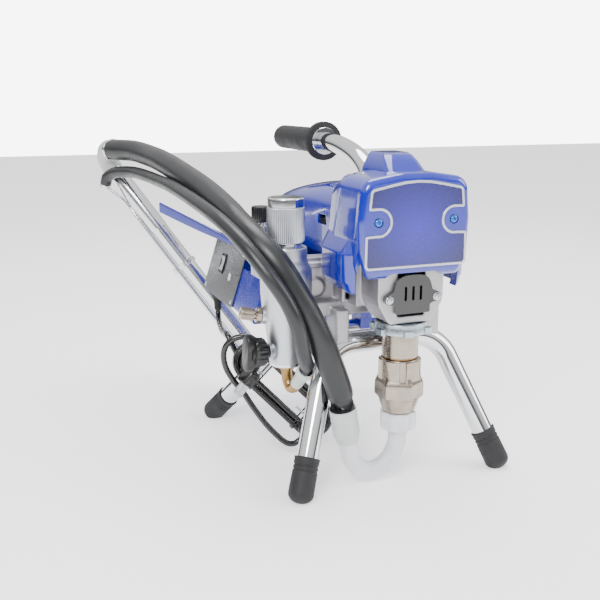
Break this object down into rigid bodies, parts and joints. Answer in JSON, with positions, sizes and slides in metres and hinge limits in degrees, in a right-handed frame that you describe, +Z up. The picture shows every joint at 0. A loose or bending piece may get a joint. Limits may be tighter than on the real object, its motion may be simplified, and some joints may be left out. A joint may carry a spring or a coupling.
{
  "type": "airless paint sprayer",
  "caption": "Electric piston-pump paint sprayer on bent chrome legs, with a filter column, a suction hose and tube, a drain hose and a tied power cord.",
  "frame": {"origin": "centre of the base, on the floor, of the machine's box without its hoses, suction tube and cord", "axes": "+Z up, +Y to the machine's rear, +X to its right seen from the front"},
  "size_m": [0.4165, 0.5134, 0.4025],
  "materials": {
    "chrome": "polished chrome plate",
    "rubber": "matte moulded rubber",
    "hose": "smooth black hose",
    "cast": "cast aluminium, light texture",
    "blue": "glossy moulded blue plastic",
    "blue_steel": "glossy blue powder coat",
    "badge": "navy face with a silver border",
    "black": "black moulded plastic",
    "zinc": "bright zinc plate",
    "nickel": "turned nickel plated steel",
    "steel": "ground steel",
    "nylon": "white grey nylon",
    "aluminium": "satin and blasted aluminium",
    "bronze": "bronze coloured plating",
    "grey_plastic": "grey moulded plastic"
  },
  "bodies": {
    "machine": {"front_leg": "chrome", "rear_leg": "chrome", "handle_post": "chrome", "foot_front_left": "rubber", "foot_front_right": "rubber", "foot_rear_left": "rubber", "foot_rear_right": "rubber", "handle_grip": "rubber", "strain_relief": "rubber", "plug": "rubber", "power_cord": "rubber", "cord_hank": "rubber", "cord_tail": "rubber", "suction_hose": "hose", "drain_hose": "hose", "drive_housing": "cast", "bearing_housing": "cast", "motor_end_bell": "cast", "front_cover": "blue", "motor_shroud": "blue", "control_box": "blue_steel", "panel_hood": "blue_steel", "label_plate": "badge", "rod_cover": "black", "filter_element": "black", "pump_cylinder": "nickel", "intake_housing": "nickel", "outlet_nipple": "nickel", "rod_cover_screw_left": "steel", "rod_cover_screw_right": "steel", "cover_screw_left": "steel", "cover_screw_right": "steel", "motor_can": "steel", "pressure_control": "steel", "control_panel": "steel", "strainer": "steel", "drain_tube": "steel", "tube_clip": "steel", "u_tube": "nylon", "filter_manifold": "aluminium", "indicator_lamp": "aluminium", "suction_tube": "aluminium", "crank_bearing": "bronze", "packing_nut": "bronze", "drain_elbow": "bronze", "hose_connector": "grey_plastic", "drain_connector": "grey_plastic", "suction_head": "grey_plastic"},
    "crank": {"crank_gear": "steel"},
    "intermediate": {"intermediate_gear": "steel"},
    "rotor": {"motor_rotor": "steel"},
    "rod": {"connecting_rod": "steel"},
    "piston": {"piston_rod": "steel"},
    "ball": {"intake_ball": "steel"},
    "inlet_nut": {"suction_nut": "nylon"},
    "lock_nut": {"jam_nut": "zinc"},
    "cap": {"filter_cap": "aluminium"},
    "prime_lever": {"prime_knob": "black"},
    "pressure_dial": {"pressure_knob": "black"},
    "rocker": {"power_switch": "grey_plastic"}
  },
  "joints": [
    {"name": "crank_turn", "type": "hinge", "parent": "machine", "child": "crank", "pos_m": [0.0144, -0.125, 0.262], "axis": [0, 1, 0], "continuous": true},
    {"name": "intermediate_turn", "type": "hinge", "parent": "machine", "child": "intermediate", "pos_m": [0.03294, -0.113, 0.29879], "axis": [0, 1, 0], "continuous": true},
    {"name": "rotor_turn", "type": "hinge", "parent": "machine", "child": "rotor", "pos_m": [0.0144, -0.013, 0.28], "axis": [0, 1, 0], "continuous": true},
    {"name": "rod_swing", "type": "hinge", "parent": "crank", "child": "rod", "pos_m": [0.0144, -0.173, 0.27], "axis": [0, 1, 0], "continuous": true},
    {"name": "piston_stroke", "type": "slide", "parent": "machine", "child": "piston", "axis": [0, 0, 1], "range_m": [-0.016, 0]},
    {"name": "ball_lift", "type": "slide", "parent": "machine", "child": "ball", "axis": [0, 0, 1], "range_m": [0, 0.002]},
    {"name": "inlet_nut_turn", "type": "hinge", "parent": "machine", "child": "inlet_nut", "pos_m": [0.0144, -0.173, 0.073], "axis": [0, 0, 1], "continuous": true},
    {"name": "lock_nut_turn", "type": "hinge", "parent": "machine", "child": "lock_nut", "pos_m": [0.0144, -0.173, 0.185], "axis": [0, 0, 1], "continuous": true},
    {"name": "cap_turn", "type": "hinge", "parent": "machine", "child": "cap", "pos_m": [-0.1026, -0.12, 0.3], "axis": [0, 0, 1], "continuous": true},
    {"name": "prime_turn", "type": "hinge", "parent": "machine", "child": "prime_lever", "pos_m": [-0.1276, -0.124, 0.1555], "axis": [-0.9917, -0.119, 0.0496], "range_deg": [0, 90]},
    {"name": "pressure_turn", "type": "hinge", "parent": "machine", "child": "pressure_dial", "pos_m": [-0.1126, -0.063, 0.3], "axis": [0, 0, 1], "range_deg": [-135, 135]},
    {"name": "rocker_tilt", "type": "hinge", "parent": "machine", "child": "rocker", "pos_m": [-0.1072, 0.107, 0.213], "axis": [0, 1, 0], "range_deg": [-8, 8]}
  ],
  "couplings": [
    {"joint": "intermediate_turn", "follows": "crank_turn", "ratio": -3.25},
    {"joint": "rotor_turn", "follows": "crank_turn", "ratio": 8.8214},
    {"joint": "rod_swing", "follows": "crank_turn", "ratio": -1}
  ]
}
